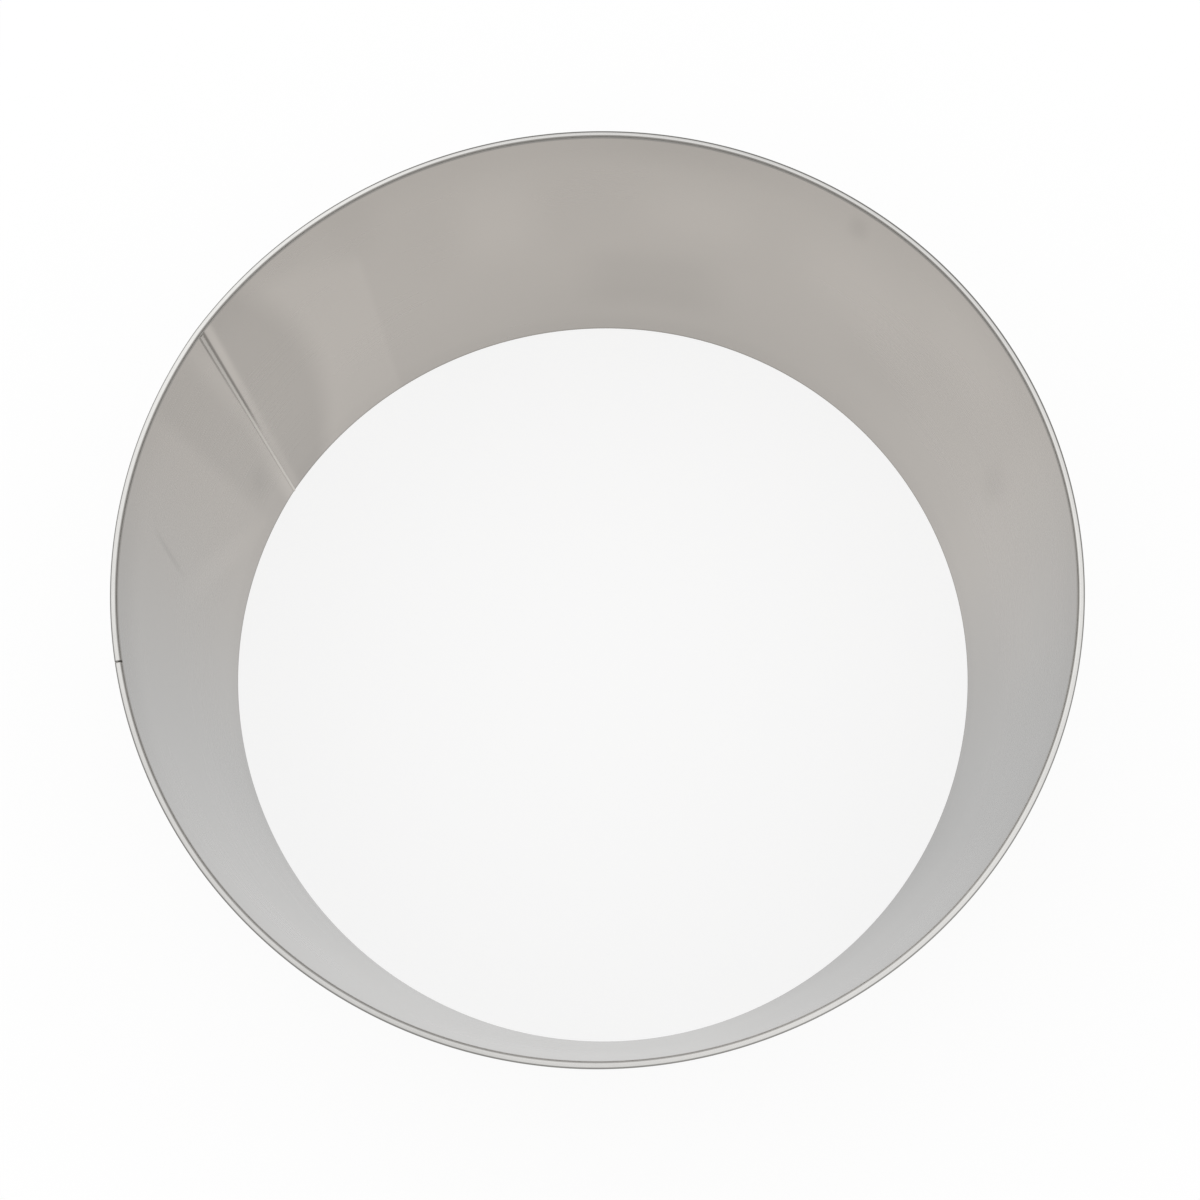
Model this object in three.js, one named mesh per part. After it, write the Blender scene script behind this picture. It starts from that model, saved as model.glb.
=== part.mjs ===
// A mousse ring: a bottomless stainless steel hoop for moulding set creams and cakes.
// A strip is rolled into a band, its ends are joined by an upright weld, and a hoop of
// rim wire is seated along the upper edge with a butt joint of its own.
// Millimetres, +Z up. The origin is on the ring's axis, in the plane that it stands on.
// Azimuths run anticlockwise from +X, seen from above.

import * as THREE from "three";

// Driving dimensions
const RIM_DIAMETER = 120; // over the rim
const RING_HEIGHT = 60; // from the table to the top of the rim

const SHEET_THICKNESS = 0.6;
const LOWER_EDGE_RADIUS = 0.15; // the deburred edges that stand on the table

const RIM_WIDTH = 0.9; // flush with the sheet inside, proud of it outside
const RIM_HEIGHT = 0.6;
const RIM_CORNER_RADIUS = 0.3;
const RIM_JOINT_AZIMUTH = 189;
const RIM_JOINT_GAP = 0.12; // between the two ends of the rim wire
const CREASE = 0.05; // the bevels that leave a fine groove between rim and sheet

const SEAM_AZIMUTH = 145.9; // at its top
const SEAM_LEAN = 1.08; // how far round the band, anticlockwise, the seam's foot stands from its top
const SEAM_GAP = 0.2; // between the two ends of the strip
const BEAD_WIDTH_TOP = 0.52;
const BEAD_WIDTH_BOTTOM = 0.4;
const BEAD_CROWN = 0.1; // how far the weld bead stands out of the sheet, on both faces
const BEAD_CLEARANCE = 0.03; // between the bead and the sheet
const BEAD_INSET = 0.1; // from the bead's ends to the rim and to the table

// How far the rolled band is out of round
const SEAM_PEAK = 0.46; // the ends of the strip are flatter, so they meet in a slight peak
const PEAK_FLANK = 60; // degrees of the band on each side of the seam that rise to the peak
const OVAL_CRESTS = 2; // slightly oval
const OVAL_HEIGHT = 0.09;
const OVAL_AZIMUTH = 9;
const LOBE_CRESTS = 3; // and slightly three-lobed, from three bending rolls
const LOBE_HEIGHT = 0.12;
const LOBE_AZIMUTH = 36;

// Fineness of the facets
const STATIONS = 144; // round a hoop
const ARC_POINTS = 3; // on each rounded corner
const BEAD_STEPS = 6; // up the weld
const CROWN_POINTS = 8; // across each face of the weld

// Sizes that follow from these
const INSIDE_RADIUS = RIM_DIAMETER / 2 - RIM_WIDTH;
const SHEET_MIDDLE_RADIUS = INSIDE_RADIUS + SHEET_THICKNESS / 2;
const RIM_MIDDLE_RADIUS = INSIDE_RADIUS + RIM_WIDTH / 2;
const BAND_HEIGHT = RING_HEIGHT - RIM_HEIGHT;
const BEAD_HEIGHT = BAND_HEIGHT - 2 * BEAD_INSET;
const BEAD_WEB = SEAM_GAP / 2 - BEAD_CLEARANCE; // half the width that fills the gap

const radians = THREE.MathUtils.degToRad;
const FULL_TURN = 2 * Math.PI;

// A wave round the ring, with the given number of crests and one of them at an azimuth in degrees.
function wave(azimuth, crests, height, crestAzimuth) {
  return height * Math.cos(crests * (azimuth - radians(crestAzimuth)));
}

// Radial error of the band at an azimuth: a peak at the seam, whose flanks curve away, and two waves.
function outOfRound(azimuth) {
  const turnFromSeam = azimuth - radians(SEAM_AZIMUTH) + FULL_TURN / 2;
  const fromSeam = THREE.MathUtils.euclideanModulo(turnFromSeam, FULL_TURN) - FULL_TURN / 2;
  const peak = SEAM_PEAK * Math.max(0, 1 - Math.abs(fromSeam) / radians(PEAK_FLANK)) ** 2;
  const oval = wave(azimuth, OVAL_CRESTS, OVAL_HEIGHT, OVAL_AZIMUTH);
  const lobes = wave(azimuth, LOBE_CRESTS, LOBE_HEIGHT, LOBE_AZIMUTH);
  return peak + oval + lobes;
}

// The way once round the ring, clockwise from one side of an open joint to the other.
class HoopPath extends THREE.Curve {
  constructor(radius, jointAzimuth, jointGap) {
    super();
    this.radius = radius;
    this.halfGap = jointGap / 2 / (radius + outOfRound(radians(jointAzimuth)));
    this.start = radians(jointAzimuth) - this.halfGap;
  }

  getPoint(t, target = new THREE.Vector3()) {
    const azimuth = this.start - t * (FULL_TURN - 2 * this.halfGap);
    const radius = this.radius + outOfRound(azimuth);
    return target.set(radius * Math.cos(azimuth), radius * Math.sin(azimuth), 0);
  }
}

// Turns a geometry about the ring's axis, more the lower it is, so that the seam leans.
function leanSeam(geometry) {
  const place = geometry.getAttribute("position");
  const point = new THREE.Vector3();
  const axis = new THREE.Vector3(0, 0, 1);
  const leanAngle = SEAM_LEAN / SHEET_MIDDLE_RADIUS;
  for (let i = 0; i < place.count; i++) {
    point.fromBufferAttribute(place, i);
    point.applyAxisAngle(axis, leanAngle * (1 - point.z / BAND_HEIGHT));
    place.setXYZ(i, point.x, point.y, point.z);
  }
  geometry.computeVertexNormals();
  return geometry;
}

// A section point, given outward and up: along a clockwise path a shape's x runs down and its y outward.
const sectionPoint = (outward, up) => new THREE.Vector2(-up, outward);

// Points of a quarter round about a corner's centre, anticlockwise from a section angle.
function cornerPoints(outward, up, radius, fromDegrees) {
  return Array.from({ length: ARC_POINTS }, (_, i) => {
    const angle = radians(fromDegrees) + ((FULL_TURN / 4) * i) / (ARC_POINTS - 1);
    return sectionPoint(outward + radius * Math.cos(angle), up + radius * Math.sin(angle));
  });
}

// A bar of the given section, bent once round the ring and cut square at its joint.
function openHoop(section, middleRadius, jointAzimuth, jointGap) {
  const extrudePath = new HoopPath(middleRadius, jointAzimuth, jointGap);
  return new THREE.ExtrudeGeometry(new THREE.Shape(section), { steps: STATIONS, extrudePath });
}

// The sheet's section: deburred below, bevelled above where the rim sits on it.
function bandSection() {
  const half = SHEET_THICKNESS / 2;
  const round = LOWER_EDGE_RADIUS;
  return [
    ...cornerPoints(-half + round, round, round, 180),
    ...cornerPoints(half - round, round, round, 270),
    sectionPoint(half, BAND_HEIGHT - CREASE),
    sectionPoint(half - CREASE, BAND_HEIGHT),
    sectionPoint(-half + CREASE, BAND_HEIGHT),
    sectionPoint(-half, BAND_HEIGHT - CREASE),
  ];
}

// The rim wire's section: rounded above, flat below with bevels that leave the groove.
function rimSection() {
  const half = RIM_WIDTH / 2;
  const round = RIM_CORNER_RADIUS;
  return [
    sectionPoint(-half + CREASE, BAND_HEIGHT),
    sectionPoint(half - CREASE, BAND_HEIGHT),
    sectionPoint(half, BAND_HEIGHT + CREASE),
    ...cornerPoints(half - round, RING_HEIGHT - round, round, 0),
    ...cornerPoints(-half + round, RING_HEIGHT - round, round, 90),
    sectionPoint(-half, BAND_HEIGHT + CREASE),
  ];
}

// The weld in plan, x along the band and y outward: a web between the ends of the strip,
// with a crowned cap over each face of the sheet.
function beadPlan() {
  const cap = BEAD_WIDTH_TOP / 2;
  const face = SHEET_THICKNESS / 2 + BEAD_CLEARANCE;
  const crown = face + 2 * BEAD_CROWN; // control point: the curve reaches half as far
  const plan = new THREE.Shape();
  plan.moveTo(-cap, -face);
  plan.quadraticCurveTo(0, -crown, cap, -face);
  plan.lineTo(BEAD_WEB, -face);
  plan.lineTo(BEAD_WEB, face);
  plan.lineTo(cap, face);
  plan.quadraticCurveTo(0, crown, -cap, face);
  plan.lineTo(-BEAD_WEB, face);
  plan.lineTo(-BEAD_WEB, -face);
  return plan;
}

// The weld bead: the plan drawn upward at the seam, with its caps narrowing towards the bottom.
function weldBead() {
  const bead = new THREE.ExtrudeGeometry(beadPlan(), {
    depth: BEAD_HEIGHT,
    steps: BEAD_STEPS,
    curveSegments: CROWN_POINTS,
    bevelEnabled: false,
  });
  const place = bead.getAttribute("position");
  const overhangTop = BEAD_WIDTH_TOP / 2 - BEAD_WEB;
  const overhangBottom = BEAD_WIDTH_BOTTOM / 2 - BEAD_WEB;
  for (let i = 0; i < place.count; i++) {
    const x = place.getX(i);
    const overhang = Math.max(0, Math.abs(x) - BEAD_WEB);
    const kept = THREE.MathUtils.lerp(overhangBottom / overhangTop, 1, place.getZ(i) / BEAD_HEIGHT);
    place.setX(i, x - Math.sign(x) * overhang * (1 - kept));
  }
  const seamAngle = radians(SEAM_AZIMUTH);
  bead.translate(0, SHEET_MIDDLE_RADIUS + outOfRound(seamAngle), BEAD_INSET);
  bead.rotateZ(seamAngle - FULL_TURN / 4);
  return leanSeam(bead);
}

const millFinish = new THREE.MeshStandardMaterial({ color: 0xb0aba4, roughness: 0.38, metalness: 1 });
const brightEdge = new THREE.MeshStandardMaterial({ color: 0xd9d6d1, roughness: 0.25, metalness: 1 });
const weldMetal = new THREE.MeshStandardMaterial({ color: 0xbab5ad, roughness: 0.45, metalness: 1 });

function namedMesh(name, geometry, material) {
  const mesh = new THREE.Mesh(geometry, material);
  mesh.name = name;
  return mesh;
}

const wallBand = namedMesh(
  "wall_band",
  leanSeam(openHoop(bandSection(), SHEET_MIDDLE_RADIUS, SEAM_AZIMUTH, SEAM_GAP)),
  millFinish,
);

const rimWire = namedMesh(
  "rim_wire",
  openHoop(rimSection(), RIM_MIDDLE_RADIUS, RIM_JOINT_AZIMUTH, RIM_JOINT_GAP),
  brightEdge,
);

const seamWeld = namedMesh("seam_weld", weldBead(), weldMetal);

const mousseRing = new THREE.Group();
mousseRing.add(wallBand, rimWire, seamWeld);

export default mousseRing;
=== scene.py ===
"""Finished surfaces for a stainless steel mousse ring: a rolled wall, its welded seam and its rim.

Everything is in metres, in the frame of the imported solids: +Z up, origin on the ring's axis in the
plane that it stands on, azimuths anticlockwise from +X seen from above.
"""

import math
from typing import NamedTuple

import bpy
import numpy as np
from bpy.props import FloatProperty, FloatVectorProperty, PointerProperty
from mathutils import Matrix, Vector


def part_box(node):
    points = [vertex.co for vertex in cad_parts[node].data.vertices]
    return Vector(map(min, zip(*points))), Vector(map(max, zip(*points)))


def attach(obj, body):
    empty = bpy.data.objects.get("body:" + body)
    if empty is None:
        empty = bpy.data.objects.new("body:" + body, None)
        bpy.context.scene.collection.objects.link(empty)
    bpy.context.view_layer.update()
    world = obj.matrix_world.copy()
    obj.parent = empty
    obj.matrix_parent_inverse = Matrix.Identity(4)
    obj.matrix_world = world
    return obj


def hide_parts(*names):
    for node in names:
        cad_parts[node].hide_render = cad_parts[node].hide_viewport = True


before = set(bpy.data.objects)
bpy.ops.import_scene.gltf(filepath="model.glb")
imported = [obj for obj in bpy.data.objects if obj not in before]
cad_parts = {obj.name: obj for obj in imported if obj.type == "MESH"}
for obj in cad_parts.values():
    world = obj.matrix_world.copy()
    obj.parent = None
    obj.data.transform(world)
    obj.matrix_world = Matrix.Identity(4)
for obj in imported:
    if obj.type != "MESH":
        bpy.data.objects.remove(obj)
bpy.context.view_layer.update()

bl_info = {
    "name": "Mousse ring",
    "version": (1, 0, 0),
    "blender": (4, 5, 0),
    "location": "View3D > Sidebar > Mousse ring",
    "description": "Builds the wall, weld and rim of a stainless steel mousse ring, and a plain studio",
    "category": "Add Mesh",
}

BODY = "root"
ACROSS = "across"  # the attribute that says how far across its section a point is
WHITE = (1.0, 1.0, 1.0, 1.0)
MM = 0.001
FULL_TURN = 2 * math.pi

# Fineness of the surfaces
STATIONS = 600  # round a hoop
STATION_CROWDING = 0.93  # how far the stations of the wall crowd towards its two ends
FACE_ROWS = 52  # up each face of the wall
CORNER_POINTS = 7  # on each rounded corner
END_POINTS = 6  # along each eased end of the rim
BEAD_ROWS = 480  # up the weld
CROWN_POINTS = 15  # across each face of the weld
HOLDING_ROW = 0.05 * MM  # a row this close to a corner keeps the face beside it flat
SHARP_ANGLE = math.radians(32)  # edges that turn by more stay sharp
FACET_ALLOWANCE = 0.02 * MM  # a true curve bulges this far past the flat facets of the solids
MEASURED_DEPTH = 1.0 * MM  # a hoop's radii are measured this far down from its top

# How often the band's error of round swells in a turn
OVAL_CRESTS = 2
LOBE_CRESTS = 3


class SheetWave(NamedTuple):
    """A slow wave of the sheet round the ring."""

    crests: int
    height: float  # share of the wobble
    twist: float  # how far its phase runs on from the foot to the top
    phase: float


SHEET_WAVES = (
    SheetWave(5, 0.5, 2.0, 0.0),
    SheetWave(9, 0.3, -3.0, 1.0),
    SheetWave(14, 0.2, 5.0, 2.0),
)

# The small crease in the sheet to the left of the seam
DENT_AZIMUTH = math.radians(169.5)
DENT_HEIGHT = 43 * MM
DENT_SLANT = math.radians(8)
DENT_DEPTH = 0.06 * MM
DENT_WIDTH = 0.7 * MM
DENT_LENGTH = 7 * MM

# The undercut that the weld leaves in the sheet on each side of the bead
TOE_OFFSET = 0.1 * MM  # from the bead's edge to the middle of the groove
TOE_REACH = 0.1 * MM
TOE_DEPTH = 0.05 * MM
BEAD_REACH = 0.08 * MM  # the finished bead runs this much closer to the rim than the solid
BEAD_RUN_OUT = 0.8 * MM  # over which the bead's crown swells from nothing under the rim


class Mark(NamedTuple):
    """A soft mark inside the wall: a hump round it times a hump up it, times a change of tone."""

    centre: float  # round the wall, at the mark's own middle
    reach: float
    change: float
    middle: float = 0.5  # shares of the wall's height
    rise: float = 9.0  # by default past the whole height
    flat: float = 0.1  # share of both reaches
    slant: float = 0.0  # how far round the mark would lean over the whole height


# Patches, and painted light and shade inside the wall, in degrees of azimuth
PATCH_AND_PAINTED_SHADING_MARKS = (
    Mark(78, 15, -0.06, middle=0.33, rise=0.22, flat=0.3),  # painted dark reflection at the back
    Mark(76, 22, -0.05, middle=1.0, rise=0.15),  # painted shade under the rim above it
    Mark(101, 10, 0.06, middle=0.68, rise=0.3),  # bright patches at the back
    Mark(72, 14, 0.05, middle=0.7, rise=0.2),
    Mark(48, 16, 0.055, middle=0.68, rise=0.25),
    Mark(30, 14, 0.04, middle=0.82, rise=0.25),
    Mark(40, 12, -0.03, middle=0.37, rise=0.15),  # darker patch at the right
    Mark(50.3, 2.2, -0.07, middle=0.93, rise=0.07),  # darker spots at the right
    Mark(14.5, 3.4, -0.06, middle=0.58, rise=0.14),
    Mark(-8, 13, 0.045, middle=0.66, rise=0.34),  # bright patch at the right
    Mark(264, 24, 0.1, middle=0.86, rise=0.4),  # painted light under the rim in front
    Mark(186, 26, -0.055, middle=1.0, rise=0.16),  # painted shade under the rim at the left
    Mark(121, 6, -0.03, middle=0.9, rise=0.2),
    Mark(170, 0.8, -0.11, middle=0.69, rise=0.16, slant=-8),  # painted shade along the dent
    Mark(164, 5, 0.045, middle=0.3, rise=0.32, slant=40),  # painted highlight between dent and seam
    Mark(151.2, 5.5, -0.085, middle=0.58, rise=0.6, flat=0.45, slant=5),  # painted shade in a band beside the seam
    Mark(150.3, 2.2, -0.05, middle=0.27, rise=0.12),  # darker spot beside the foot of the seam
)

# Painted highlight along the right side of the bead, in millimetres round the wall from the seam
SEAM_PAINTED_HIGHLIGHTS = (
    Mark(-1.12, 1.05, 0.05, slant=-0.45),
    Mark(-1.35, 1.05, 0.12, middle=1.0, rise=0.62, slant=-0.45),
)

# Painted shade in a band to the right of the seam and painted light in a patch beyond it, round the wall
# from the seam
BAND_PAINTED_SHADE = -0.11
PATCH_PAINTED_LIGHT = 0.05
BAND_START = (0.7 * MM, -3.0 * MM)  # where the band rises from the seam
BAND_EDGE = (-5.0 * MM, -11.0 * MM)  # where it goes over into the patch, at the top and the foot
BAND_BOW = 5.5 * MM  # how much further it reaches halfway up
PATCH_EDGE = (-26.2 * MM, -24.8 * MM)  # where the patch ends
PATCH_TOP = (0.86, 0.72)  # levels where the patch fades upward, at that end
PATCH_TOP_RISE = 11.0  # by how many levels in a metre round the wall its top rises towards the seam

# Painted highlight on the sheet to the left of the seam's foot
FOOT_PAINTED_HIGHLIGHT = 0.17
FOOT_LIGHT_REACH = (3.2 * MM, 0.3 * MM)
FOOT_LIGHT_LEVELS = (0.62, 0.05)
SEAM_SIDE = (-0.1 * MM, 0.15 * MM)  # the step from the right of the seam to its left


class SlowPaintedShading(NamedTuple):
    """Slow painted light or shade round a hoop, in degrees of azimuth."""

    azimuth: float
    end: float  # how far from there the change has ended
    change: float


# Painted light and shade round the inside of the wall
WALL_PAINTED_SHADING = (
    SlowPaintedShading(326, 50, -0.265),
    SlowPaintedShading(350, 28, 0.08),
    SlowPaintedShading(262, 75, 0.13),
    SlowPaintedShading(189, 48, -0.085),
)
FOOT_PAINTED_SHADING = (  # painted light and shade, only towards the wall's foot
    SlowPaintedShading(312, 32, -0.05),
    SlowPaintedShading(174, 24, 0.07),
    SlowPaintedShading(76, 30, -0.03),
)
# Painted shade towards the wall's foot
FOOT_PAINTED_SHADE = -0.055
FOOT_LEVELS = (0.5, 0.0)
EDGE_PAINTED_SHADE = -0.03  # painted shade along the wall's foot and under the rim
EDGE_LEVELS = ((0.12, 0.03), (0.86, 1.0))
# Painted light and shade round the rim
RIM_PAINTED_SHADING = (SlowPaintedShading(335, 70, 0.14), SlowPaintedShading(135, 40, 0.1), SlowPaintedShading(225, 40, -0.12))
FRONT_AZIMUTH = math.radians(265)  # the middle of the front, where a cool reflection tint is painted on the inside of the sheet
FRONT_COSINES = (-0.4, 0.45)  # of the turn from there, where the colour goes over
OUTSIDE_COOL = 0.5  # how cool the sheet is outside
INSIDE_STEP = (0.5, -0.5)  # across the sheet, from the outer face's look to the inner one's
WELD_FOOT_TONE = 0.3  # how much lighter the bead is at its foot

# Painted shade in dark lines along the rim's corners, by how far across the rim they begin and end
OUTER_LINE = (0.42, 0.72)
OUTER_LINE_FADE = 0.12  # how much fainter it is in front
OUTER_LINE_ROUGHNESS = 0.08
RIM_BACK_AZIMUTH = math.radians(65)  # where the outer line is widest
OUTER_LINE_SHIFT = 0.3  # how much sooner it begins there
OUTER_SIDE_DEPTHS = (0.8, 1.1)  # corner radii under the top, where its side takes the wall's colour
INNER_LINE = (-0.45, -0.75)
INNER_LINE_FADE = 0.27
INNER_LINE_SHIFT = 0.1  # how much wider it is in front
INNER_LINE_ROUGHNESS = 0.1
RIM_FRONT_COSINES = (0.0, 0.9)  # of the turn from the front, where both lines change

# The dark line of the rim's joint
JOINT_LINE_REACH = 0.2 * MM
JOINT_LINE_FLAT = 0.6
JOINT_LINE_STRENGTH = 0.75


class Toe(NamedTuple):
    """Sheet darkened in a line along one side of the bead: heat tint, and painted shade of the groove
    there.
    """

    offset: float  # from the bead's edge to the middle of the line
    reach: float
    flat: float  # share of the reach
    levels: tuple  # where it rises to its full strength
    strength: float


# Heat tint with painted shade of the groove, along each side of the bead
RIGHT_TOE = Toe(-0.14 * MM, 0.38 * MM, 0.3, (0.38, 0.62), 0.8)
LEFT_TOE = Toe(0.08 * MM, 0.26 * MM, 0.2, (0.55, 1.0), 0.55)
FOOT_LINE_LEVELS = (0.013, 0.003)  # painted shade in a dark line along the wall's foot
FOOT_SHADE_LINE_STRENGTH = 0.5


class Grain(NamedTuple):
    """Noise in a finish, and how much of it goes to tone, roughness and bump."""

    cells: tuple  # in a metre, along each axis
    detail: float
    tone: float
    roughness: float = 0.0
    bump: float = 0.0


WALL_LINES = Grain((30, 30, 5200), 3.0, tone=0.009, roughness=0.03, bump=0.012)
WALL_CLOUD = Grain((22, 22, 30), 2.0, tone=0.05, roughness=0.05)
WALL_STREAKS = Grain((14, 14, 950), 4.0, tone=0.1, roughness=0.14)  # outside only
RIM_PATCHES = Grain((90, 90, 90), 3.0, tone=0.14, roughness=0.1)
RIM_SCRATCHES = Grain((900, 900, 900), 2.0, tone=0.06, bump=0.05)
WELD_MOTTLE = Grain((1400, 1400, 700), 3.0, tone=0.1, roughness=0.12, bump=0.1)
WELD_DRIFT = Grain((120, 120, 120), 2.0, tone=0.1)
BUMP_DISTANCE = 0.02 * MM

# The room's light, by the sine of the elevation that it comes from
SKY_RISE = (0.0, 0.75)  # where it goes over from the horizon's light to the zenith's
WHITE_RISE = (0.55, 0.2)  # where the camera and reflections go over from that light to white
SKY_STEPS = 200  # over which the room's light is averaged
CLIP_START = 5 * MM


def length(name, description, millimetres):
    """A length property, with its default given in millimetres."""
    words = {"name": name, "description": description}
    return FloatProperty(**words, default=millimetres * MM, unit="LENGTH", precision=5)


def angle(name, description, degrees):
    """An angle property, with its default given in degrees."""
    words = {"name": name, "description": description}
    return FloatProperty(**words, default=math.radians(degrees), subtype="ANGLE")


def share(name, description, default):
    """A plain factor between 0 and 1."""
    words = {"name": name, "description": description}
    return FloatProperty(**words, default=default, min=0, max=1, subtype="FACTOR")


def colour(name, description, default):
    """A linear colour property."""
    words = {"name": name, "description": description}
    return FloatVectorProperty(**words, default=default, min=0, max=1, subtype="COLOR")


class MousseRingSizes(bpy.types.PropertyGroup):
    """Sizes of the ring that the solids' boxes don't give."""

    seam_azimuth: angle("Seam azimuth", "Where the top of the welded seam stands", 145.9)
    seam_lean: length("Seam lean", "How far round the band the seam's foot stands from its top", 1.08)
    seam_gap: length("Seam gap", "Between the two ends of the strip", 0.2)
    seam_peak: length("Seam peak", "How far the strip's flatter ends stand out", 0.46)
    peak_flank: angle("Peak flank", "How much of the band on each side rises to the peak", 60)
    oval_height: length("Oval", "How far the band is oval", 0.09)
    oval_azimuth: angle("Oval azimuth", "Where the oval is widest", 9)
    lobe_height: length("Lobes", "How far the band is three-lobed", 0.12)
    lobe_azimuth: angle("Lobe azimuth", "Where one of the lobes is", 36)
    lower_edge: length("Lower edge radius", "The deburred edges that stand on the table", 0.15)
    crease: length("Crease", "The bevels that leave a groove between rim and wall", 0.05)
    rim_corner: length("Rim corner radius", "The rounded upper corners of the rim", 0.3)
    rim_joint_azimuth: angle("Rim joint azimuth", "Where the ends of the rim strip meet", 189)
    rim_joint_gap: length("Rim joint gap", "Between the ends of the rim strip", 0.12)
    rim_end_ease: length("Rim end ease", "How far the ends of the rim strip are rounded over", 0.03)
    bead_top: length("Bead width at the top", "Width of the weld bead under the rim", 0.52)
    bead_bottom: length("Bead width at the bottom", "Width of the weld bead at the lower edge", 0.4)
    bead_crown: length("Bead crown", "How far the bead stands out of the sheet", 0.1)
    bead_clearance: length("Bead clearance", "Between the bead and the sheet", 0.03)
    ripple_pitch: length("Ripple pitch", "Spacing of the freeze ripples along the weld", 0.75)
    ripple_height: length("Ripple height", "Height of the freeze ripples", 0.008)
    wobble: length("Wobble", "How far the sheet strays from a true cylinder between its edges", 0.035)


class MousseRingFinish(bpy.types.PropertyGroup):
    """Colours and gloss of the steel."""

    wall_colour: colour("Wall", "Satin rolled sheet", (0.474, 0.444, 0.411))
    # the cooler colour of the sheet outside, and the painted cool reflection tint inside in front
    wall_cool_colour: colour("Wall front", "The sheet where it is cooler", (0.474, 0.469, 0.459))
    rim_colour: colour("Rim", "Bright dressed edge", (0.76, 0.75, 0.73))
    # painted shade along the rim's outer and inner corners
    rim_outer_shade_colour: colour("Rim outer corner", "Dull outer corner of the rim", (0.185, 0.18, 0.17))
    rim_inner_shade_colour: colour("Rim inner corner", "Dark inner corner of the rim", (0.31, 0.298, 0.28))
    weld_colour: colour("Weld", "Weld metal", (0.5, 0.478, 0.446))
    # heat tint beside the weld, also the colour of the painted shade along the wall's foot and of the
    # rim's joint line
    heat_tint_and_shade_colour: colour("Heat tint", "Sheet dulled by heat beside the weld", (0.16, 0.148, 0.132))
    wall_roughness: share("Wall roughness", "Roughness of the rolled sheet", 0.28)
    rim_roughness: share("Rim roughness", "Roughness of the dressed edge", 0.24)
    weld_roughness: share("Weld roughness", "Roughness of the weld", 0.4)


class MousseRingStudio(bpy.types.PropertyGroup):
    """The floor, the light and the camera."""

    floor_size: length("Floor size", "Side of the square floor", 8000)
    floor_drop: length("Floor drop", "How far the floor lies under the ring", 0.05)
    floor_colour: colour("Floor", "Colour of the floor", (0.9, 0.9, 0.9))
    floor_shadow: share("Floor shadow", "Share of the floor's look that keeps shadows", 0.24)
    zenith: colour("Zenith", "Light from straight above", (0.85, 0.85, 0.85))
    horizon: colour("Horizon", "Light from the sides of the room", (0.6, 0.6, 0.6))
    softbox_size: length("Softbox size", "Side of the square softbox", 1400)
    softbox_height: length("Softbox height", "How high the softbox hangs", 1800)
    softbox_offset: length("Softbox offset", "How far to the left and back the softbox hangs", 600)
    softbox_power: FloatProperty(
        name="Softbox power",
        description="Light of the softbox",
        default=1.0,
        unit="POWER",
    )
    camera_side: length("Camera X", "Place of the camera to the right of the axis", 0.21)
    camera_front: length("Camera Y", "Place of the camera, negative in front of the axis", -50.72)
    camera_height: length("Camera Z", "Height of the camera", 235.63)
    camera_tilt: angle("Camera tilt", "Turn of the camera up from straight down", 14.568)
    camera_roll: angle("Camera roll", "Turn of the camera about its line of sight", -3.29)
    camera_lens: FloatProperty(
        name="Camera lens",
        description="Focal length",
        default=44.4,
        unit="CAMERA",
    )


def wave(azimuth, crests, height, crest_azimuth):
    """A wave round the ring: height times the cosine of the turn from a crest, times the crests."""
    return height * np.cos(crests * (azimuth - crest_azimuth))


def turn_from(azimuth, centre):
    """The signed turn from a centre azimuth, wrapped to half a turn each way."""
    return np.mod(azimuth - centre + math.pi, FULL_TURN) - math.pi


def out_of_round(azimuth, sizes):
    """Radial error of the band: a peak at the seam that falls off as a square, an oval, lobes."""
    rise = np.clip(1 - np.abs(turn_from(azimuth, sizes.seam_azimuth)) / sizes.peak_flank, 0, None)
    oval = wave(azimuth, OVAL_CRESTS, sizes.oval_height, sizes.oval_azimuth)
    lobes = wave(azimuth, LOBE_CRESTS, sizes.lobe_height, sizes.lobe_azimuth)
    return sizes.seam_peak * rise**2 + oval + lobes


def hoop_radii(node, sizes):
    """Inside and outside radius of a solid hoop near its top, with its out-of-round taken off."""
    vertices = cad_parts[node].data.vertices
    points = np.empty(3 * len(vertices))
    vertices.foreach_get("co", points)
    x, y, z = points.reshape(-1, 3).T
    radii = np.hypot(x, y) - out_of_round(np.arctan2(y, x), sizes)
    measured = radii[z > z.max() - MEASURED_DEPTH]
    return measured.min(), measured.max()


def middle_radius(sizes):
    """Radius of the middle of the sheet."""
    return sum(hoop_radii("wall_band", sizes)) / 2


def lean_turn(heights, sizes):
    """How far the seam's lean turns a point: nothing at the wall's top, the whole lean at its foot."""
    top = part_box("wall_band")[1].z
    return sizes.seam_lean / middle_radius(sizes) * (1 - heights / top)


def quarter(centre_out, centre_up, radius, start):
    """A quarter circle in the section plane, anticlockwise from a start angle about a centre."""
    turn = start + np.linspace(0, FULL_TURN / 4, CORNER_POINTS)
    return np.stack([centre_out + radius * np.cos(turn), centre_up + radius * np.sin(turn)], -1)


def upright(out, heights):
    """A straight stretch of the section: one distance outward, at many heights."""
    return np.stack([np.full_like(heights, out), heights], -1)


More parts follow.
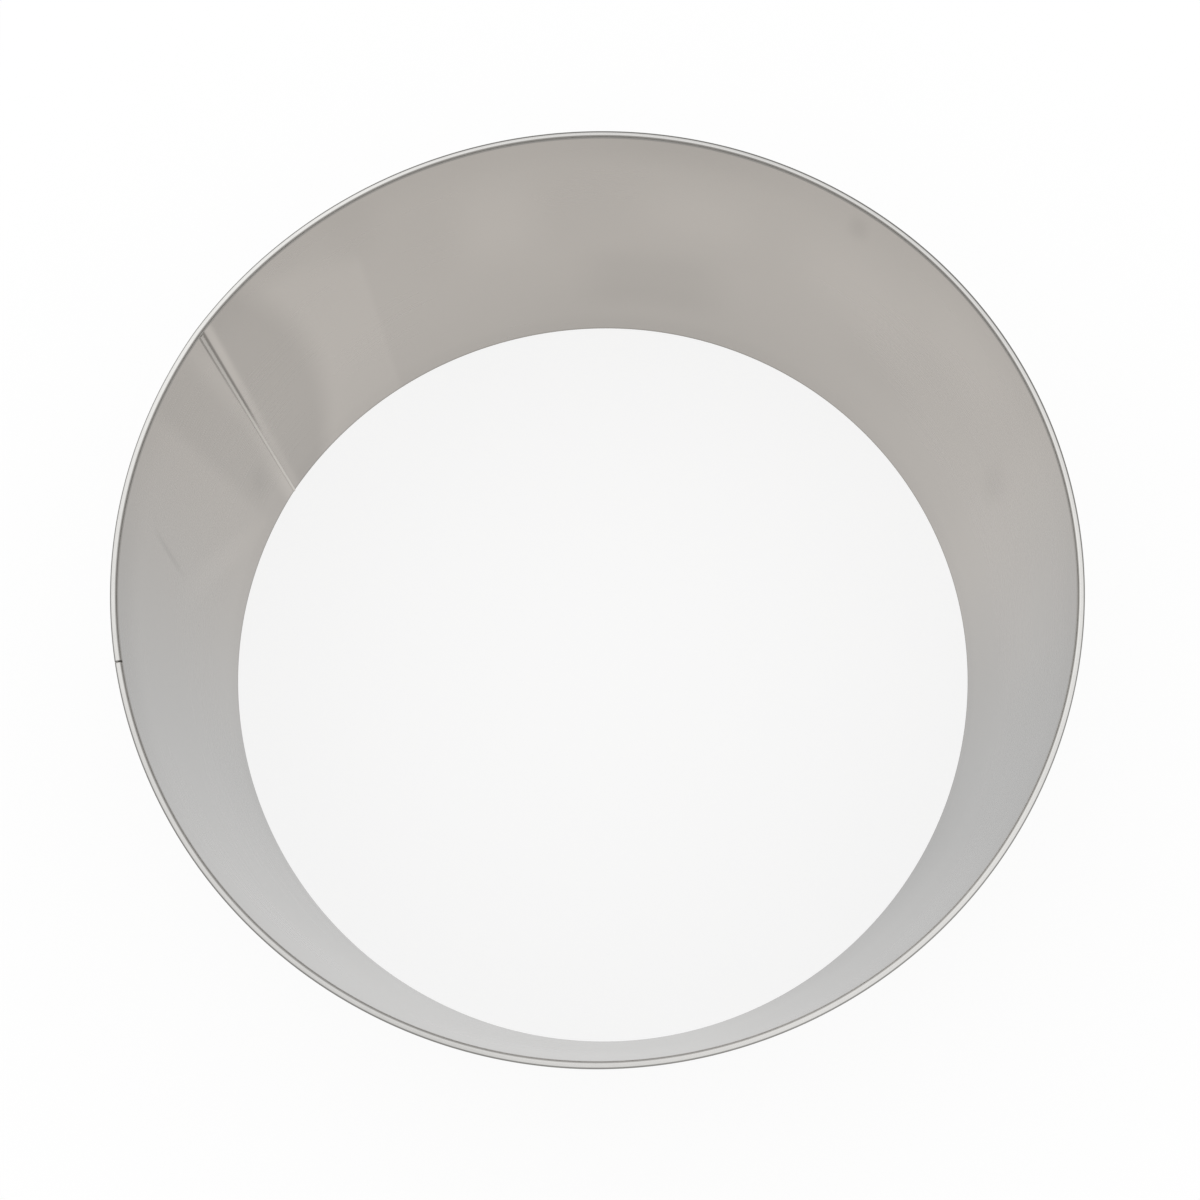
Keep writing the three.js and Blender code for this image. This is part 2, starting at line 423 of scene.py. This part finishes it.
def wall_section(inside, outside, top, sizes):
    """Section of the sheet, anticlockwise: rounded foot, outer face, bevelled top, inner face."""
    foot = sizes.lower_edge
    shoulder = top - sizes.crease
    rows = np.linspace(foot, shoulder, FACE_ROWS)
    heights = np.concatenate([[foot + HOLDING_ROW], rows[1:-1], [shoulder - HOLDING_ROW, shoulder]])
    flat_top = np.array([[outside - sizes.crease, top], [inside + sizes.crease, top]])
    return np.concatenate([
        quarter(inside + foot, foot, foot, math.pi),
        quarter(outside - foot, foot, foot, 1.5 * math.pi),
        upright(outside, heights),
        flat_top,
        upright(inside, heights[::-1]),
    ])


def rim_section(inside, outside, seat, top, sizes):
    """Section of the rim strip, anticlockwise: bevelled flat seat below, two rounded corners above."""
    corner = sizes.rim_corner
    bevel = sizes.crease
    seat_line = np.array([
        [inside, seat + bevel],
        [inside + bevel, seat],
        [outside - bevel, seat],
        [outside, seat + bevel],
    ])
    return np.concatenate([
        seat_line,
        quarter(outside - corner, top - corner, corner, 0),
        quarter(inside + corner, top - corner, corner, 0.5 * math.pi),
    ])


def skinned(name, rings):
    """A closed mesh from an array of rings: quads between neighbouring rings, and a face on each end.

    Seen along the path from the first ring to the last, each ring runs clockwise.
    """
    count, points, _ = rings.shape
    index = np.arange(count * points).reshape(count, points)
    ahead = np.roll(index, -1, axis=1)
    quads = np.stack([index[:-1], index[1:], ahead[1:], ahead[:-1]], -1).reshape(-1, 4)
    faces = quads.tolist() + [index[0].tolist(), index[-1, ::-1].tolist()]
    mesh = bpy.data.meshes.new(name)
    mesh.from_pydata(rings.reshape(-1, 3), [], faces)
    mesh.shade_smooth()
    mesh.set_sharp_from_angle(angle=SHARP_ANGLE)
    return mesh


def carried_round(sections, azimuths, lean, sizes):
    """Rings of a section carried round the ring: each radius gets the out-of-round of its azimuth,
    and each point is turned on by the lean of its height."""
    radii = sections[..., 0] + out_of_round(azimuths, sizes)[:, None]
    turn = azimuths[:, None] + lean
    return np.stack([radii * np.cos(turn), radii * np.sin(turn), sections[..., 1]], -1)


def joint_span(azimuth, gap, radius):
    """First and last azimuth of a hoop that is open by a gap at a joint."""
    half = gap / 2 / radius
    return azimuth + half, azimuth + FULL_TURN - half


def hill(distance, reach):
    """A smooth hill of height 1: the Gaussian of a distance over a reach."""
    return np.exp(-((distance / reach) ** 2))


def bow(level):
    """A parabola of the level: 0 at the wall's foot and top, 1 halfway up."""
    return 4.0 * level * (1.0 - level)


def sheet_stray(azimuths, section, sizes):
    """How far the sheet strays from a cylinder: slow waves and a small dent, nothing at the edges."""
    turn = azimuths[:, None]
    heights = section[:, 1]
    level = heights / heights.max()
    waves = sum(
        slow.height * np.sin(slow.crests * turn + slow.twist * level + slow.phase)
        for slow in SHEET_WAVES
    )
    across = middle_radius(sizes) * turn_from(turn, DENT_AZIMUTH)
    along = heights - DENT_HEIGHT
    slant = across * math.cos(DENT_SLANT) + along * math.sin(DENT_SLANT)
    run = along * math.cos(DENT_SLANT) - across * math.sin(DENT_SLANT)
    dent = DENT_DEPTH * hill(slant, DENT_WIDTH) * hill(run, DENT_LENGTH)
    return np.clip(bow(level), 0, 1) * (sizes.wobble * waves + dent)


def undercut(azimuths, section, sizes):
    """Grooves in both faces along both sides of the weld: Gaussian across, deeper upward."""
    from_seam = turn_from(azimuths[:, None], sizes.seam_azimuth) * middle_radius(sizes)
    level = section[:, 1] / section[:, 1].max()
    edge = (sizes.bead_bottom + (sizes.bead_top - sizes.bead_bottom) * level) / 2
    groove = TOE_DEPTH * level * hill(np.abs(from_seam) - edge - TOE_OFFSET, TOE_REACH)
    inward_face = section[:, 0] < section[:, 0].mean()
    return np.where(inward_face, groove, -groove)


def crowded(start, stop, count):
    """Azimuths from start to stop that crowd at both ends: even steps less a full sine of crowding."""
    even = np.linspace(0, 1, count)
    eased = even - STATION_CROWDING * np.sin(FULL_TURN * even) / FULL_TURN
    return start + (stop - start) * eased


def across_section(section):
    """How far across its section each point is, from -1 inside to 1 outside."""
    out = section[:, 0]
    return 2 * (out - out.min()) / (out.max() - out.min()) - 1


def wall_rings(sizes):
    """The wall: the sheet's section carried round from one side of the leaning seam to the other.

    Gives the rings and how far across the sheet each point of the section is.
    """
    inside, outside = hoop_radii("wall_band", sizes)
    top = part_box("wall_band")[1].z
    section = wall_section(inside, outside, top, sizes)
    start, stop = joint_span(sizes.seam_azimuth, sizes.seam_gap, (inside + outside) / 2)
    azimuths = crowded(start, stop, STATIONS)
    sections = np.repeat(section[None], STATIONS, axis=0)
    sections[..., 0] += sheet_stray(azimuths, section, sizes) + undercut(azimuths, section, sizes)
    rings = carried_round(sections, azimuths, lean_turn(section[:, 1], sizes), sizes)
    return rings, across_section(section)


def rim_rings(sizes):
    """The rim: its section carried round from joint to joint, drawn in at both ends by a quarter round.

    Gives the rings and how far across the rim each point of the section is.
    """
    inside, outside = hoop_radii("rim_wire", sizes)
    low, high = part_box("rim_wire")
    section = rim_section(inside, outside - FACET_ALLOWANCE, low.z, high.z, sizes)
    middle = (section.min(0) + section.max(0)) / 2
    half_size = (section.max(0) - section.min(0)) / 2
    ease = sizes.rim_end_ease
    start, stop = joint_span(sizes.rim_joint_azimuth, sizes.rim_joint_gap, middle[0])
    end_turn = np.linspace(0, FULL_TURN / 4, END_POINTS)
    end = ease / middle[0] * (1 - np.cos(end_turn))
    body = np.linspace(start + end[-1], stop - end[-1], STATIONS)
    azimuths = np.concatenate([start + end[:-1], body, stop - end[-2::-1]])
    drawn_in = ease * (1 - np.sin(end_turn))
    insets = np.concatenate([drawn_in[:-1], np.zeros(STATIONS), drawn_in[-2::-1]])
    shrink = 1 - insets[:, None, None] / half_size
    rings = carried_round(middle + (section - middle) * shrink, azimuths, 0, sizes)
    return rings, across_section(section)


def bead_rings(sizes):
    """The weld: a web with a parabolic cap on each face, drawn from top to bottom as its caps narrow.

    The caps swell from nothing under the rim by a quarter ellipse, and crescent ripples run along them.
    """
    inside, outside = hoop_radii("wall_band", sizes)
    low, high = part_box("seam_weld")
    heights = np.linspace(high.z + BEAD_REACH, low.z, BEAD_ROWS)
    level = (heights - low.z) / (high.z - low.z)
    cap = (sizes.bead_bottom + (sizes.bead_top - sizes.bead_bottom) * level)[:, None] / 2
    web = np.full_like(cap, sizes.seam_gap / 2 - sizes.bead_clearance)
    face = (outside - inside) / 2 + sizes.bead_clearance
    across = np.linspace(-1, 1, CROWN_POINTS)
    phase = FULL_TURN / sizes.ripple_pitch * (heights[:, None] + cap * across**2)
    run_out = np.clip((heights[0] - heights) / BEAD_RUN_OUT, 0, 1)[:, None]
    crown = (sizes.bead_crown + sizes.ripple_height * (np.sin(phase) - 1)) * (1 - across**2)
    crown = crown * np.sqrt(run_out * (2 - run_out))
    corners = np.concatenate([web, web], 1)
    web_out = np.concatenate([np.full_like(web, -face), np.full_like(web, face)], 1)
    along = np.concatenate([cap * across, corners, cap * across[::-1], -corners], 1)
    outward = np.concatenate([-face - crown, web_out, face + crown[:, ::-1], -web_out], 1)
    radius = (inside + outside) / 2 + out_of_round(sizes.seam_azimuth, sizes) + outward
    turn = sizes.seam_azimuth + lean_turn(heights, sizes)[:, None]
    cosine = np.cos(turn)
    sine = np.sin(turn)
    x = radius * cosine + along * sine
    y = radius * sine - along * cosine
    return np.stack([x, y, np.broadcast_to(heights[:, None], x.shape)], -1)


class Wire:
    """A socket with arithmetic: an operator on wires adds the Math node that works it out."""

    def __init__(self, finish, socket):
        self.finish = finish
        self.socket = socket

    def maths(self, operation, *others):
        return self.finish.maths(operation, self, *others)

    def __add__(self, other):
        return self.maths("ADD", other)

    def __radd__(self, other):
        return self.finish.maths("ADD", other, self)

    def __sub__(self, other):
        return self.maths("SUBTRACT", other)

    def __rsub__(self, other):
        return self.finish.maths("SUBTRACT", other, self)

    def __mul__(self, other):
        return self.maths("MULTIPLY", other)

    def __rmul__(self, other):
        return self.finish.maths("MULTIPLY", other, self)

    def __truediv__(self, other):
        return self.maths("DIVIDE", other)

    def __rtruediv__(self, other):
        return self.finish.maths("DIVIDE", other, self)

    def __abs__(self):
        return self.maths("ABSOLUTE")

    def other(self, output):
        """Another output of the same node."""
        return Wire(self.finish, self.socket.node.outputs[output])


class Finish:
    """A node tree that is being wired."""

    def __init__(self, tree):
        self.tree = tree
        tree.nodes.clear()

    def add(self, kind, settings=None, sockets=None, output=0):
        """Adds a node: its settings first, then the values or wires of its sockets. Gives one output."""
        node = self.tree.nodes.new(kind)
        for name, value in (settings or {}).items():
            setattr(node, name, value)
        for key, value in (sockets or {}).items():
            if isinstance(value, Wire):
                self.tree.links.new(value.socket, node.inputs[key])
            else:
                node.inputs[key].default_value = value
        return Wire(self, node.outputs[output]) if node.outputs else None

    def maths(self, operation, *values):
        """A Math node on numbers and wires."""
        return self.add("ShaderNodeMath", {"operation": operation}, dict(enumerate(values)))

    def split(self, vector):
        """The three parts of a vector."""
        x = self.add("ShaderNodeSeparateXYZ", None, {"Vector": vector})
        return x, x.other("Y"), x.other("Z")

    def ramp(self, value, start, stop):
        """A smooth step from 0 at start to 1 at stop."""
        sockets = {"Value": value, "From Min": start, "From Max": stop}
        return self.add("ShaderNodeMapRange", {"interpolation_type": "SMOOTHSTEP"}, sockets)

    def hump(self, value, centre, reach, flat=0.0):
        """A smooth hump: 1 at a centre and over a flat share of the reach, 0 from the reach outward."""
        return self.ramp(abs(value - centre), reach, flat * reach)

    def noise(self, place, grain):
        """The noise of a grain, up to a half to each side of 0."""
        stretched = self.add("ShaderNodeMapping", None, {"Vector": place, "Scale": grain.cells})
        sockets = {"Vector": stretched, "Scale": 1.0, "Detail": grain.detail, "Roughness": 0.5}
        return self.add("ShaderNodeTexNoise", None, sockets) - 0.5

    def bumped(self, height, grain):
        """A normal that a grain's noise bumps."""
        sockets = {"Strength": grain.bump, "Distance": BUMP_DISTANCE, "Height": height}
        return self.add("ShaderNodeBump", None, sockets)

    def scaled(self, colour, factor):
        """A colour times a wire."""
        sockets = {"Vector": colour, "Scale": factor}
        return self.add("ShaderNodeVectorMath", {"operation": "SCALE"}, sockets)

    def mixed(self, factor, first, second):
        """A colour from the first to the second with a wire, by the colour sockets of a Mix node."""
        settings = {"data_type": "RGBA", "clamp_factor": True}
        return self.add("ShaderNodeMix", settings, {0: factor, 6: first, 7: second}, output=2)


def opaque(rgb):
    """A colour with full alpha."""
    return (*rgb, 1.0)


def steel(finish, base, roughness, normal):
    """The metal shader: colour and roughness wires over a bumped normal, out to the surface."""
    sockets = {"Base Color": base, "Metallic": 1.0, "Roughness": roughness, "Normal": normal}
    shader = finish.add("ShaderNodeBsdfPrincipled", None, sockets)
    finish.add("ShaderNodeOutputMaterial", None, {"Surface": shader})


def new_material(name):
    """An empty node material and its tree."""
    material = bpy.data.materials.new(name)
    material.use_nodes = True
    return material, Finish(material.node_tree)


def faced(finish, place, azimuth):
    """The place seen along an azimuth: how far out along it, how far to its left, and the height."""
    turned = {"Vector": place, "Angle": -azimuth}
    return finish.split(finish.add("ShaderNodeVectorRotate", {"rotation_type": "Z_AXIS"}, turned))


def wall_place(finish, place, sizes):
    """Where a point is on the wall: its arc from the leaning seam and its share of the height."""
    outward, left, height = faced(finish, place, sizes.seam_azimuth)
    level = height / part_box("wall_band")[1].z
    arc = finish.maths("ARCTAN2", left, outward) * middle_radius(sizes)
    return arc - sizes.seam_lean * (1.0 - level), level


def towards(finish, place, azimuth, sizes):
    """The cosine of the turn from an azimuth: 1 there, 0 a quarter turn away."""
    return faced(finish, place, azimuth)[0] / middle_radius(sizes)


def slow_painted_shading(finish, place, tones, sizes):
    """Slow painted light and shade round a hoop: smooth steps on the cosine of the turn from an azimuth.
    """
    total = 0.0
    for azimuth, end, change in tones:
        facing = towards(finish, place, math.radians(azimuth), sizes)
        total = total + change * finish.ramp(facing, math.cos(math.radians(end)), 1.0)
    return total


def soft_marks(finish, around, level, marks):
    """Soft marks: each a hump round the wall, leaning with the level, times a hump up it."""
    total = 0.0
    for mark in marks:
        leant = around - mark.slant * (level - mark.middle)
        across = finish.hump(leant, mark.centre, mark.reach, mark.flat)
        total = total + mark.change * across * finish.hump(level, mark.middle, mark.rise, mark.flat)
    return total


def seam_painted_shading(finish, arc, level):
    """Painted shade in a band and painted light in a patch to the right of the seam, and a painted
    highlight to the left of its foot.

    The band's edge bows out as a parabola of the level, and the patch's top rises towards the seam.
    """
    beyond = finish.ramp(arc + BAND_BOW * bow(level), *BAND_EDGE)
    band = finish.ramp(arc, *BAND_START) * (1.0 - beyond)
    top = finish.ramp(level - PATCH_TOP_RISE * (arc - PATCH_EDGE[1]), *PATCH_TOP)
    patch = beyond * finish.ramp(arc, *PATCH_EDGE) * top
    foot_light = finish.ramp(arc, *FOOT_LIGHT_REACH) * finish.ramp(level, *FOOT_LIGHT_LEVELS)
    foot_light = foot_light * finish.ramp(arc, *SEAM_SIDE)
    return BAND_PAINTED_SHADE * band + PATCH_PAINTED_LIGHT * patch + FOOT_PAINTED_HIGHLIGHT * foot_light


def inside_tone_and_painted_shading(finish, place, arc, level, sizes):
    """All changes of tone inside the wall, most of them painted light and shade."""
    azimuth = arc / (middle_radius(sizes) * math.radians(1)) + math.degrees(sizes.seam_azimuth)
    # slow painted light and shade round the wall
    tone = slow_painted_shading(finish, place, WALL_PAINTED_SHADING, sizes)
    # patches, and painted light and shade, at their places on the wall
    tone = tone + soft_marks(finish, azimuth, level, PATCH_AND_PAINTED_SHADING_MARKS)
    # painted highlight along the right side of the bead
    tone = tone + soft_marks(finish, arc / MM, level, SEAM_PAINTED_HIGHLIGHTS)
    # painted light and shade beside the seam
    tone = tone + seam_painted_shading(finish, arc, level)
    # painted light and shade towards the foot, then painted shade along the foot and under the rim
    foot = FOOT_PAINTED_SHADE + slow_painted_shading(finish, place, FOOT_PAINTED_SHADING, sizes)
    tone = tone + foot * finish.ramp(level, *FOOT_LEVELS)
    for start, stop in EDGE_LEVELS:
        tone = tone + EDGE_PAINTED_SHADE * finish.ramp(level, start, stop)
    return tone


def toe_line(finish, from_edge, level, toe):
    """A line along one side of the bead: a hump across it times a smooth step upward."""
    line = finish.hump(from_edge, toe.offset, toe.reach, toe.flat)
    return toe.strength * (line * finish.ramp(level, *toe.levels))


def heat_tint_and_painted_shade(finish, arc, level, sizes):
    """How much the sheet is darkened: heat tint and painted shade along both sides of the bead, more
    upward, and painted shade along its foot.
    """
    half_bead = sizes.bead_bottom / 2 + (sizes.bead_top - sizes.bead_bottom) / 2 * level
    right = toe_line(finish, arc + half_bead, level, RIGHT_TOE)
    left = toe_line(finish, arc - half_bead, level, LEFT_TOE)
    return right + left + FOOT_SHADE_LINE_STRENGTH * finish.ramp(level, *FOOT_LINE_LEVELS)


def wall_material(sizes, look):
    """Satin rolled sheet: lines round the band, cloudy tone, marks and painted light and shade inside,
    heat tint and painted shade beside the weld.
    """
    material, finish = new_material("wall_steel")
    place = finish.add("ShaderNodeTexCoord", output="Object")
    across = finish.add("ShaderNodeAttribute", {"attribute_name": ACROSS}, output="Fac")
    inside = finish.ramp(across, *INSIDE_STEP)
    arc, level = wall_place(finish, place, sizes)
    lines = finish.noise(place, WALL_LINES)
    cloud = finish.noise(place, WALL_CLOUD)
    streaks = finish.noise(place, WALL_STREAKS) * (1.0 - inside)
    tone = 1.0 + WALL_LINES.tone * lines + WALL_CLOUD.tone * cloud + WALL_STREAKS.tone * streaks
    tone = tone + inside * inside_tone_and_painted_shading(finish, place, arc, level, sizes)
    # painted cool reflection tint inside, towards the front
    front = finish.ramp(towards(finish, place, FRONT_AZIMUTH, sizes), *FRONT_COSINES)
    cool = OUTSIDE_COOL + inside * (front - OUTSIDE_COOL)
    sheet = finish.mixed(cool, opaque(look.wall_colour), opaque(look.wall_cool_colour))
    # heat tint and painted shade beside the weld, and painted shade along the wall's foot
    heat = heat_tint_and_painted_shade(finish, arc, level, sizes)
    base = finish.mixed(heat, finish.scaled(sheet, tone), opaque(look.heat_tint_and_shade_colour))
    roughness = look.wall_roughness + WALL_LINES.roughness * lines + WALL_CLOUD.roughness * cloud
    roughness = roughness + WALL_STREAKS.roughness * streaks
    steel(finish, base, roughness, finish.bumped(lines, WALL_LINES))
    return material


def rim_material(sizes, look):
    """Dressed edge: bright and polished on top, with painted shade along its outer and inner corners."""
    material, finish = new_material("rim_steel")
    place = finish.add("ShaderNodeTexCoord", output="Object")
    across = finish.add("ShaderNodeAttribute", {"attribute_name": ACROSS}, output="Fac")
    outward, left, height = faced(finish, place, sizes.rim_joint_azimuth)
    patches = finish.noise(place, RIM_PATCHES)
    scratches = finish.noise(place, RIM_SCRATCHES)
    tone = 1.0 + RIM_PATCHES.tone * patches + RIM_SCRATCHES.tone * scratches
    # slow painted light and shade round the rim
    tone = tone + slow_painted_shading(finish, place, RIM_PAINTED_SHADING, sizes)
    back = finish.ramp(towards(finish, place, RIM_BACK_AZIMUTH, sizes), 0.0, 1.0)
    front = finish.ramp(towards(finish, place, FRONT_AZIMUTH, sizes), *RIM_FRONT_COSINES)
    # painted shade along the outer corner, wider at the back, and along the inner corner, wider in
    # front; both fainter in front
    outer = finish.ramp(across + OUTER_LINE_SHIFT * back, *OUTER_LINE) * (1.0 - OUTER_LINE_FADE * front)
    inner = finish.ramp(across - INNER_LINE_SHIFT * front, *INNER_LINE) * (1.0 - INNER_LINE_FADE * front)
    joint = finish.hump(left, 0.0, JOINT_LINE_REACH, JOINT_LINE_FLAT)
    joint = joint * finish.ramp(outward, 0.0, middle_radius(sizes))
    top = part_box("rim_wire")[1].z
    side_heights = [top - depth * sizes.rim_corner for depth in OUTER_SIDE_DEPTHS]
    outer_side = outer * finish.ramp(height, *side_heights)
    base = finish.mixed(outer, opaque(look.rim_colour), opaque(look.rim_outer_shade_colour))
    base = finish.mixed(inner, base, opaque(look.rim_inner_shade_colour))
    base = finish.mixed(outer_side, base, opaque(look.wall_colour))
    base = finish.mixed(JOINT_LINE_STRENGTH * joint, base, opaque(look.heat_tint_and_shade_colour))
    roughness = look.rim_roughness + RIM_PATCHES.roughness * patches
    roughness = roughness + OUTER_LINE_ROUGHNESS * outer + INNER_LINE_ROUGHNESS * inner
    steel(finish, finish.scaled(base, tone), roughness, finish.bumped(scratches, RIM_SCRATCHES))
    return material


def weld_material(sizes, look):
    """Weld metal: lightly mottled, a little duller than the sheet."""
    material, finish = new_material("weld_steel")
    place = finish.add("ShaderNodeTexCoord", output="Object")
    mottle = finish.noise(place, WELD_MOTTLE)
    drift = finish.noise(place, WELD_DRIFT)
    _, level = wall_place(finish, place, sizes)
    tone = 1.0 + WELD_FOOT_TONE * (1.0 - level) + WELD_MOTTLE.tone * mottle + WELD_DRIFT.tone * drift
    base = finish.scaled(look.weld_colour, tone)
    roughness = look.weld_roughness + WELD_MOTTLE.roughness * mottle
    steel(finish, base, roughness, finish.bumped(mottle, WELD_MOTTLE))
    return material


def finished_piece(name, rings, material, node, across=None):
    """Puts a skinned surface into the scene in place of a solid, with its finish."""
    piece = bpy.data.objects.new(name, skinned(name, rings))
    piece.data.materials.append(material)
    if across is not None:
        attribute = piece.data.attributes.new(ACROSS, "FLOAT", "POINT")
        attribute.data.foreach_set("value", np.tile(across, len(rings)))
    bpy.context.scene.collection.objects.link(piece)
    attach(piece, BODY)
    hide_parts(node)


def seen_rays(finish):
    """1 for rays of the camera and of reflections, which see the studio as white, and 0 for others."""
    path = finish.add("ShaderNodeLightPath", output="Is Camera Ray")
    seen = path + path.other("Is Glossy Ray") + path.other("Is Transmission Ray")
    return seen.maths("MINIMUM", 1.0)


def open_floor_light(studio):
    """Light of the open floor: its colour times the mean of the room's light, weighted by the sine."""
    rise = (np.arange(SKY_STEPS) + 0.5) / SKY_STEPS
    eased = np.clip((rise - SKY_RISE[0]) / (SKY_RISE[1] - SKY_RISE[0]), 0, 1)
    eased = eased**2 * (3 - 2 * eased)
    room = studio.horizon[0] + (studio.zenith[0] - studio.horizon[0]) * eased
    return studio.floor_colour[0] * np.mean(2 * rise * room)


def floor_material(studio):
    """A pale floor that the camera and reflections see as white where it is open.

    For them a share of the floor's own light stays, with the ring's shadow, and a glow adds what the
    open floor lacks to white.
    """
    material, finish = new_material("floor_white")
    lit = finish.add("ShaderNodeBsdfDiffuse", None, {"Color": opaque(studio.floor_colour)})
    glow_share = 1.0 - studio.floor_shadow
    strength = (1.0 - studio.floor_shadow * open_floor_light(studio)) / glow_share
    glow = finish.add("ShaderNodeEmission", None, {"Color": WHITE, "Strength": strength})
    factor = seen_rays(finish) * glow_share
    surface = finish.add("ShaderNodeMixShader", None, {0: factor, 1: lit, 2: glow})
    finish.add("ShaderNodeOutputMaterial", None, {"Surface": surface})
    return material


def add_floor(studio):
    """A level square floor just under the ring."""
    half = studio.floor_size / 2
    drop = -studio.floor_drop
    corners = [(-half, -half, drop), (half, -half, drop), (half, half, drop), (-half, half, drop)]
    mesh = bpy.data.meshes.new("floor")
    mesh.from_pydata(corners, [], [(0, 1, 2, 3)])
    floor = bpy.data.objects.new("floor", mesh)
    mesh.materials.append(floor_material(studio))
    bpy.context.scene.collection.objects.link(floor)


def add_light(studio):
    """Light from the whole room, brighter above than at the sides, and a large softbox.

    The camera and reflections see the room as white near the horizon, as they see the floor.
    """
    world = bpy.data.worlds.new("studio")
    world.use_nodes = True
    finish = Finish(world.node_tree)
    rise = finish.split(finish.add("ShaderNodeTexCoord", output="Generated"))[2]
    sky = finish.mixed(finish.ramp(rise, *SKY_RISE), opaque(studio.horizon), opaque(studio.zenith))
    white = seen_rays(finish) * finish.ramp(rise, *WHITE_RISE)
    sky = finish.mixed(white, sky, WHITE)
    room = finish.add("ShaderNodeBackground", None, {"Color": sky, "Strength": 1.0})
    finish.add("ShaderNodeOutputWorld", None, {"Surface": room})
    bpy.context.scene.world = world

    lamp = bpy.data.lights.new("softbox", "AREA")
    lamp.size = studio.softbox_size
    lamp.energy = studio.softbox_power
    softbox = bpy.data.objects.new("softbox", lamp)
    softbox.location = (-studio.softbox_offset, studio.softbox_offset, studio.softbox_height)
    softbox.rotation_euler = softbox.location.to_track_quat("Z", "Y").to_euler()
    bpy.context.scene.collection.objects.link(softbox)


def add_camera(studio):
    """The camera: straight down, rolled about its line of sight, then tilted up about the side axis."""
    lens = bpy.data.cameras.new("camera")
    lens.lens = studio.camera_lens
    lens.clip_start = CLIP_START
    camera = bpy.data.objects.new("camera", lens)
    place = Matrix.Translation((studio.camera_side, studio.camera_front, studio.camera_height))
    tilt = Matrix.Rotation(studio.camera_tilt, 4, "X")
    roll = Matrix.Rotation(studio.camera_roll, 4, "Z")
    camera.matrix_world = place @ tilt @ roll
    bpy.context.scene.collection.objects.link(camera)
    bpy.context.scene.camera = camera


class MOUSSERING_OT_wall(bpy.types.Operator):
    """Builds the rolled sheet wall"""

    bl_idname = "mousse_ring.wall"
    bl_label = "Wall"

    def execute(self, context):
        sizes = context.scene.mousse_ring_sizes
        material = wall_material(sizes, context.scene.mousse_ring_finish)
        rings, across = wall_rings(sizes)
        finished_piece("rolled_wall", rings, material, "wall_band", across)
        return {"FINISHED"}


class MOUSSERING_OT_rim(bpy.types.Operator):
    """Builds the bright strip along the upper edge"""

    bl_idname = "mousse_ring.rim"
    bl_label = "Rim"

    def execute(self, context):
        sizes = context.scene.mousse_ring_sizes
        material = rim_material(sizes, context.scene.mousse_ring_finish)
        rings, across = rim_rings(sizes)
        finished_piece("bright_rim", rings, material, "rim_wire", across)
        return {"FINISHED"}


class MOUSSERING_OT_weld(bpy.types.Operator):
    """Builds the weld bead in the seam"""

    bl_idname = "mousse_ring.weld"
    bl_label = "Weld"

    def execute(self, context):
        sizes = context.scene.mousse_ring_sizes
        material = weld_material(sizes, context.scene.mousse_ring_finish)
        finished_piece("weld_bead", bead_rings(sizes), material, "seam_weld")
        return {"FINISHED"}


class MOUSSERING_OT_studio(bpy.types.Operator):
    """Adds the floor, the light and the camera"""

    bl_idname = "mousse_ring.studio"
    bl_label = "Studio"

    def execute(self, context):
        studio = context.scene.mousse_ring_studio
        add_floor(studio)
        add_light(studio)
        add_camera(studio)
        context.scene.view_settings.view_transform = "Standard"
        return {"FINISHED"}


class MOUSSERING_PT_panel(bpy.types.Panel):
    """Lists the pieces of the ring and the settings that shape them"""

    bl_idname = "MOUSSERING_PT_panel"
    bl_label = "Mousse ring"
    bl_space_type = "VIEW_3D"
    bl_region_type = "UI"
    bl_category = "Mousse ring"

    def draw(self, context):
        for operator in OPERATORS:
            self.layout.operator(operator.bl_idname)
        for group in GROUPS:
            settings = getattr(context.scene, group)
            for name in settings.__annotations__:
                self.layout.prop(settings, name)


OPERATORS = (MOUSSERING_OT_wall, MOUSSERING_OT_rim, MOUSSERING_OT_weld, MOUSSERING_OT_studio)
GROUPS = {
    "mousse_ring_sizes": MousseRingSizes,
    "mousse_ring_finish": MousseRingFinish,
    "mousse_ring_studio": MousseRingStudio,
}


def register():
    for name, group in GROUPS.items():
        bpy.utils.register_class(group)
        setattr(bpy.types.Scene, name, PointerProperty(type=group))
    for kind in (*OPERATORS, MOUSSERING_PT_panel):
        bpy.utils.register_class(kind)


def unregister():
    for kind in (*OPERATORS, MOUSSERING_PT_panel):
        bpy.utils.unregister_class(kind)
    for name, group in GROUPS.items():
        delattr(bpy.types.Scene, name)
        bpy.utils.unregister_class(group)


def main():
    """Registers the classes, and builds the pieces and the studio."""
    register()
    bpy.ops.mousse_ring.wall()
    bpy.ops.mousse_ring.rim()
    bpy.ops.mousse_ring.weld()
    bpy.ops.mousse_ring.studio()


if __name__ == "__main__":
    main()
